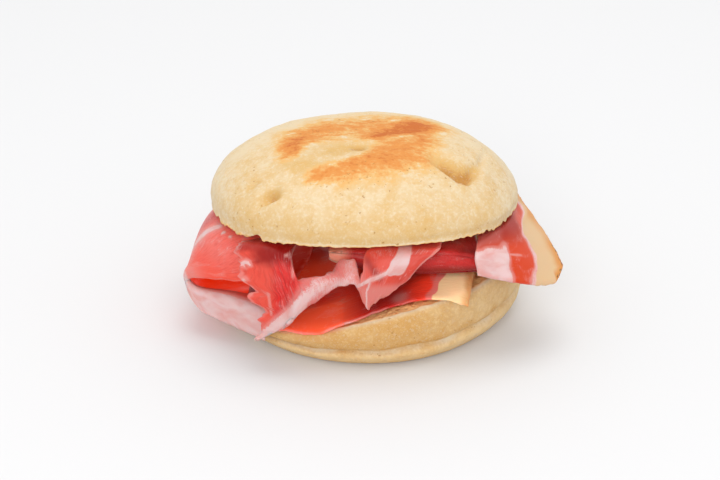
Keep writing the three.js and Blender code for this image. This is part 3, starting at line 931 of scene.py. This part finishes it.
def spin_bread(profile, steps):
    """The body, its points, and for each its radius, its angle in degrees and its level."""
    body = bmesh.new()
    verts = [body.verts.new(point) for point in profile_curve(profile)]
    edges = [body.edges.new(pair) for pair in zip(verts, verts[1:])]
    bmesh.ops.spin(body, geom=verts + edges, axis=(0, 0, 1), cent=(0, 0, 0), angle=2 * math.pi, steps=steps,
                   use_merge=True)
    bmesh.ops.remove_doubles(body, verts=body.verts, dist=MERGE_DISTANCE * MM)
    bmesh.ops.recalc_face_normals(body, faces=body.faces)
    points = np.array([vert.co for vert in body.verts]) / MM
    x, y, z = points.T
    return body, points, np.hypot(x, y), np.degrees(np.arctan2(y, x)), z.copy()


def swell_at(swells, angle):
    """Radius share at an angle in degrees, from (angle, spread, amount) rows."""
    total = 1
    for middle, spread, amount in swells:
        turn = np.abs(angle - middle) % 360
        total = total + amount * bump(np.minimum(turn, 360 - turn), spread)
    return total


def fit_box(points, node):
    """Stretches points a hair so that they fill the node's box."""
    low, high = box_of(node)
    return low + (points - points.min(0)) * (high - low) / (points.max(0) - points.min(0))


print("points on a small profile:", len(profile_curve([(0, 0), (10, 0), (10, 5), (0, 5)])))

# %% [markdown]
# The lower half stands on a flat base. A rounded foot and a crease run round it, left where the
# dough sagged on the plate, and above them the wall climbs to the cut face, whose rim is drawn up
# a little where the bread was pulled apart.

# %% The lower half
FOOT_HEIGHT, CREASE_HEIGHT, RIM_RADIUS = 2.8, 4.2, 37.8
LOWER_SWELLS = [(180, 50, 0.012), (60, 40, -0.01), (-40, 35, -0.02)]


def rim_rise(radius, angle):
    """How far the rim stands up at the front right, in millimetres."""
    return 2.2 * ease(radius / RIM_RADIUS, 0.85, 1) * bump(angle + 31, 10)


def foot_growth(angle):
    """The foot grows higher and wider towards the right, from 0 to 1."""
    return ((1 + np.cos(np.radians(angle - 20))) / 2) ** 2


wall = CUT_HIGH - CREASE_HEIGHT
lower_profile = [
    (0, 0), (16.25, 0), (30.5, 0), (32.5, 0.05), (35.1, 0.8), (36.8, FOOT_HEIGHT), (36.4, 3.7),
    (35.7, CREASE_HEIGHT), (37.1, 5.76), (38.4, 10.7), (38.4, 15.25), (38, 16.7), (37.4, CUT_HIGH),
    (34.02, CUT_HIGH), (18.9, CUT_HIGH), (0, CUT_HIGH),
]
body, points, radius, angle, level = spin_bread(lower_profile, steps=420)
rise, from_rim = level - CREASE_HEIGHT, radius - RIM_RADIUS
growth = foot_growth(angle)
foot = ease(level, 0, FOOT_HEIGHT) * ease(rise, 0.5 * wall, 0)
wider = 1.6 * growth * foot / most(radius, 1)
points[:, :2] *= (swell_at(LOWER_SWELLS, angle) * (1 + wider))[:, None]
crease_z = CREASE_HEIGHT + 5.4 * growth
cut_z = lower_cut(points[:, 0]) + rim_rise(radius, angle)
wall_z = crease_z + rise / wall * (cut_z - crease_z)
foot_z = level * crease_z / CREASE_HEIGHT
points[:, 2] = np.where(rise > 0, wall_z, foot_z)
x = points[:, 0].copy()
points = fit_box(points, "bun_bottom")
print("lower half points:", len(points), "highest crease:", crease_z.max().round(1))

# %% [markdown]
# The smooth shape is roughened: lumps in the crust, an uneven crease, a ragged lip along the rim
# and a coarse crumb on the cut face. The same measures place the masks: the crumb is toasted
# inside the rim, but hardly at the high side at the right, and flour gathers in the crease.

# %% Roughen and paint the lower half
WALL_LIGHT = 1.3
WALL_CREAM, WALL_GOLD = shade(242, 208, 154, WALL_LIGHT), shade(222, 170, 100, WALL_LIGHT)
normals = normals_of(body, points)
on_cut = ease(level, CUT_HIGH - 0.5, CUT_HIGH - 0.05) * ease(from_rim, -0.1, -1.1)
standing = ease(level, 0.1, 1.0)
around = points * (1, 1, 0)
lumps = 0.22 * ruffle(points, 9, 3) + 0.1 * ruffle(points, 3, 4) + 0.05 * ruffle(points, 1.1, 5)
crumbs = 0.3 * ruffle(points, 2, 6) + 0.22 * ruffle(points, 0.9, 7) - 0.25
uneven = 0.6 * ruffle(around, 8, 8) + 0.25 * ruffle(around, 2.5, 9)
points[:, 2] += bump(rise, 1.3) * standing * uneven
lumps -= 0.35 * (0.4 + ruffle(around, 5, 10)) * bump(rise, 0.5)
lip = bump(from_rim + 0.7, 0.6) * ease(level, CUT_HIGH - 1, CUT_HIGH - 0.3)
points += normals * (lumps * standing * (1 - on_cut) + crumbs * on_cut)[:, None]
points[:, 2] += 0.35 * lip * (0.5 + 0.7 * ruffle(around, 3, 12))

right = on_cut * ease(x, 18, 22) * ease(radius, 22, 27)
crumb_toast = on_cut * (0.1 + 0.6 * ease(radius, 36, 31))
toast = most(0.25 * ease(level, 2.2, 0.2), crumb_toast) * (1 - 0.9 * right)
crease_flour = 0.8 * bump(rise + 0.3, 0.5) * (0.6 + ruffle(around, 4, 14))
rim_flour = bump(from_rim + 0.5, 0.7) * ease(level, CUT_HIGH - 1.3, CUT_HIGH - 0.3)
flour = most(crease_flour, rim_flour)
golden = 0.5 - 0.25 * ease(level, CREASE_HEIGHT, 2) + 0.2 * bump(rise - 1.2, 1)
golden += 0.3 * bump(angle + 100, 45) * ease(rise, -0.5, 2)
golden += 0.9 * most(0, ruffle(points, 3.5, 19)) * bump(rise - 1.6, 2.4)
# painted light: the crust turns paler towards the right, as if more light fell on that side
golden -= 0.22 * ease(x, 10, 26)
points, masks = fit_box(points, "bun_bottom"), stack(toast, on_cut, flour, golden / 2)
bread_lower = make_piece("bread_lower", "bun_bottom", body, points, "baking", masks)
bread_material(bread_lower, "crust_lower", WALL_CREAM, WALL_GOLD, speck_amount=0.6)

# %% [markdown]
# The upper half is a low dome, held up at the front by the ham. The griddle browned a broken ring
# on its top, and fingers left a deep dent at the right, a small one at the left and a dimple in
# the middle. Each is a patch placed on the dome: its place, its size and how strong it is.

# %% The upper half
FRONT_RAISE, RIGHT_RAISE = math.radians(6.4), math.radians(1)
CUT_RADIUS = 38.1
SIDE_DROP, RIGHT_DROP = 0.29, 0.17
UPPER_SWELLS = [(-90, 28, -0.025), (-136, 20, 0.022), (-42, 18, 0.022)]
upper_profile = [
    (0, 0), (19.05, 0), (32.385, 0), (37.6, 0.05), (CUT_RADIUS, 0.5), (38.1, 1.6), (38.2, 3.4), (37.7, 6),
    (36.5, 8.6), (34.4, 11), (31.3, 13.2), (27.2, 15.1), (22.2, 16.4), (16.2, 17.2), (8.2, 17.6), (0, 17.7),
]


def patch(x, y, centre, size, turn=0):
    """A soft oval patch on the dome: 1 in its middle, turned by an angle in degrees."""
    cos, sin = math.cos(math.radians(turn)), math.sin(math.radians(turn))
    dx, dy = x - centre[0], y - centre[1]
    return bump(np.hypot((dx * cos + dy * sin) / size[0], (dy * cos - dx * sin) / size[1]), 1)


def browning(x, y):
    """The broken ring that the griddle left, from 0 to 1."""
    def arc(places, width):
        return stroke(np.stack([x, y], 1), places, width)

    upper_arc = arc([(-17.8, -14.5), (-16.4, -7), (-12.5, -2), (-6, 1.5), (3, 3.5), (11, 4)],
                    (3.4, 5, 8.4, 10.5, 11.5, 9.4))
    lower_arc = arc([(-11.3, -25.8), (-6.3, -24.3), (-1.5, -22.4), (3.5, -20.2), (8.6, -16.4), (14.6, -8)],
                    (2.6, 4.6, 5, 7, 8, 4.4))
    dark = 1.2 * arc([(3.5, -5.5), (9, -1.5), (14, 2.5)], (3, 4.6, 4.6))
    dark += 0.5 * arc([(-16.5, -6), (-17, -13)], 3.2)
    pale = 0.5 * arc([(-11.5, -16.5), (-6, -16.8), (-1.5, -14.4)], (3.4, 3.4, 2))
    return 0.52 * most(upper_arc, 1.25 * lower_arc) + 0.6 * dark - pale


def finger_dent(x, y):
    """A teardrop at the right, steep at its front edge, from 0 to 1."""
    front_edge = np.interp(x, (14.5, 15.9, 18.8, 21.7, 24.7, 27.4, 29.2, 30.5),
                           (-19.5, -20.1, -22.2, -23.3, -22.7, -20, -12.5, -5))
    past = y - front_edge
    slope = 1.2 + 8 * ease(x, 24, 28.5)
    return ease(past, -0.4, slope) * ease(past, 11, 1.6) * window(x, 17, 29, 2.6)


def small_dents(x, y):
    left = 1.2 * patch(x, y, (-21.9, -27.6), (2, 1.6), -8) * ease(y + 0.12 * x, -31.6, -30.9)
    left += 0.35 * patch(x, y, (-26.2, -21.6), (1.7, 1.2))
    middle = 1.4 * patch(x, y, (-1.2, -12.9), (1.4, 1.2)) + 0.25 * patch(x, y, (-3, -13.5), (6, 3), 15)
    return left + middle


print("browning in the middle:", browning(np.zeros(1), np.zeros(1)))

# %% [markdown]
# The dome is spun level, then its sides are drawn down and it is tilted, because the ham holds it
# up. Dents are pressed in at right angles to the surface, and torn teeth stand along the cut
# edge, longest at the two front corners.

# %% Shape the upper half
body, points, radius, angle, level = spin_bread(upper_profile, steps=460)
points[:, 2] *= 1 - (SIDE_DROP + RIGHT_DROP * np.cos(np.radians(angle))) * (radius / CUT_RADIUS) ** 5
points[:, :2] *= swell_at(UPPER_SWELLS, angle)[:, None]
x, y = points[:, 0].copy(), points[:, 1].copy()
tilt = Matrix.Rotation(-FRONT_RAISE, 3, "X") @ Matrix.Rotation(-RIGHT_RAISE, 3, "Y")
points = fit_box(points @ np.array(tilt).T, "bun_top")
normals = normals_of(body, points)
crust, dome = ease(level, 0.3, 1.5), ease(level, 2, 5)
deep_dent, dents = finger_dent(x, y), small_dents(x, y)
lumps = 0.3 * ruffle(points, 11, 13) + 0.14 * ruffle(points, 3.5, 14) + 0.06 * ruffle(points, 1.1, 15)
points += normals * (lumps * crust - (2.8 * deep_dent + 1.8 * dents) * dome)[:, None]
torn = 0.25 + 1.1 * bump(angle + 140, 20) + 1.0 * bump(angle + 36, 20)
edge = ease(level, 2.2, 0.2) * ease(radius, CUT_RADIUS - 3, CUT_RADIUS - 0.5)
teeth = 0.75 - 2 * np.abs(ruffle(points, 2.6, 16)) + 0.5 * ruffle(points, 0.9, 17)
points[:, 2] -= teeth * torn * edge
points[:, 2] += most(0.3 * ruffle(points, 2.2, 18) * ease(level, 0.2, 0.0), -0.1)
print("upper half points:", len(points))

# %% [markdown]
# Last come the masks: the browned ring on the dome, toasted crumb below, flour along the edge and
# at the sides, and a golden tone at the front and at the back and in the dents, where it is partly
# the crust's own and partly painted shade.

# %% Paint the upper half
under = ease(level, 0.35, 0.02)
toast = most(browning(x, y) * dome, 0.5 * under)
flour = bump(level - 0.4, 0.45) * bump(angle + 90, 55)
flour = most(flour, 0.5 * ease(np.abs(x), 29, 36) * ease(level, 14, 8))
golden = 0.12 + 0.3 * ease(y, 5, -15) + 0.35 * ease(y, 20, 34)
# in the dents the golden tone is partly the crust's own and partly painted shade
golden += 1.5 * ease(deep_dent, 0.1, 0.9) + 0.9 * dents
golden += 0.45 * patch(x, y, (-14, -21), (6, 3), -20) + 0.35 * patch(x, y, (-5, -14), (8, 4), 12)
golden += 0.3 * ease(level, 13, 4) * most(bump(angle + 90, 70), 0.5)
points, masks = fit_box(points, "bun_top"), stack(toast, under, flour, golden / 2)
bread_upper = make_piece("bread_upper", "bun_top", body, points, "baking", masks)
bread_material(bread_upper, "crust_upper", CRUST_CREAM, CRUST_GOLD, speck_amount=0.7)

# %% [markdown]
# The setting is a plain white sweep under a big soft light, as food is often lit in a studio.
# The white floor throws light back up under the bread, so the shadows stay open; a faint light
# of its own stands for what a much larger sweep would send back.

# %% Floor, lights and camera
FLOOR_SIZE = 3  # in metres, as everything in this cell
LIGHT_AIM = Vector((0, 0, 0.02))
floor_shape = bmesh.new()
bmesh.ops.create_grid(floor_shape, x_segments=1, y_segments=1, size=FLOOR_SIZE)
floor_mesh = bpy.data.meshes.new("floor")
floor_shape.to_mesh(floor_mesh)
floor_shape.free()
floor = add_object("floor", floor_mesh)
finish_surface(new_material(floor, "white_sweep"), Base_Color=(0.625, 0.625, 0.63, 1), Roughness=0.9,
               Specular_IOR_Level=0.1, Emission_Color=(1, 1, 1, 1), Emission_Strength=0.07)

world = bpy.data.worlds.new("studio")
bpy.context.scene.world = world
world.use_nodes = True
sky = world.node_tree.nodes["Background"].inputs
sky["Color"].default_value = (1, 1, 1, 1)
sky["Strength"].default_value = 0.95


def look_along(thing, direction):
    thing.rotation_euler = direction.to_track_quat("-Z", "Y").to_euler()


def soft_light(name, place, size, power):
    light = bpy.data.lights.new(name, "AREA")
    light.shape = "DISK"
    light.size = size
    light.energy = power
    lamp = add_object(name, light)
    lamp.location = place
    look_along(lamp, LIGHT_AIM - Vector(place))


soft_light("overhead", (0.1, 0.1, 1.0), size=0.8, power=3.9)
soft_light("front", (-0.15, -0.93, 0.5), size=0.5, power=4.2)

CAMERA_AIM = Vector((-0.003, 0, 0.0167))
CAMERA_RISE = math.radians(26)
CAMERA_DISTANCE = 0.43
camera_data = bpy.data.cameras.new("camera")
camera_data.lens = 85
camera_data.sensor_width = 36
camera_data.clip_start = 0.01
camera = add_object("camera", camera_data)
back = Vector((0, -math.cos(CAMERA_RISE), math.sin(CAMERA_RISE)))
camera.location = CAMERA_AIM + back * CAMERA_DISTANCE
look_along(camera, -back)
bpy.context.scene.camera = camera
bpy.context.scene.view_settings.view_transform = "Standard"
print("camera at", [round(c, 3) for c in camera.location])
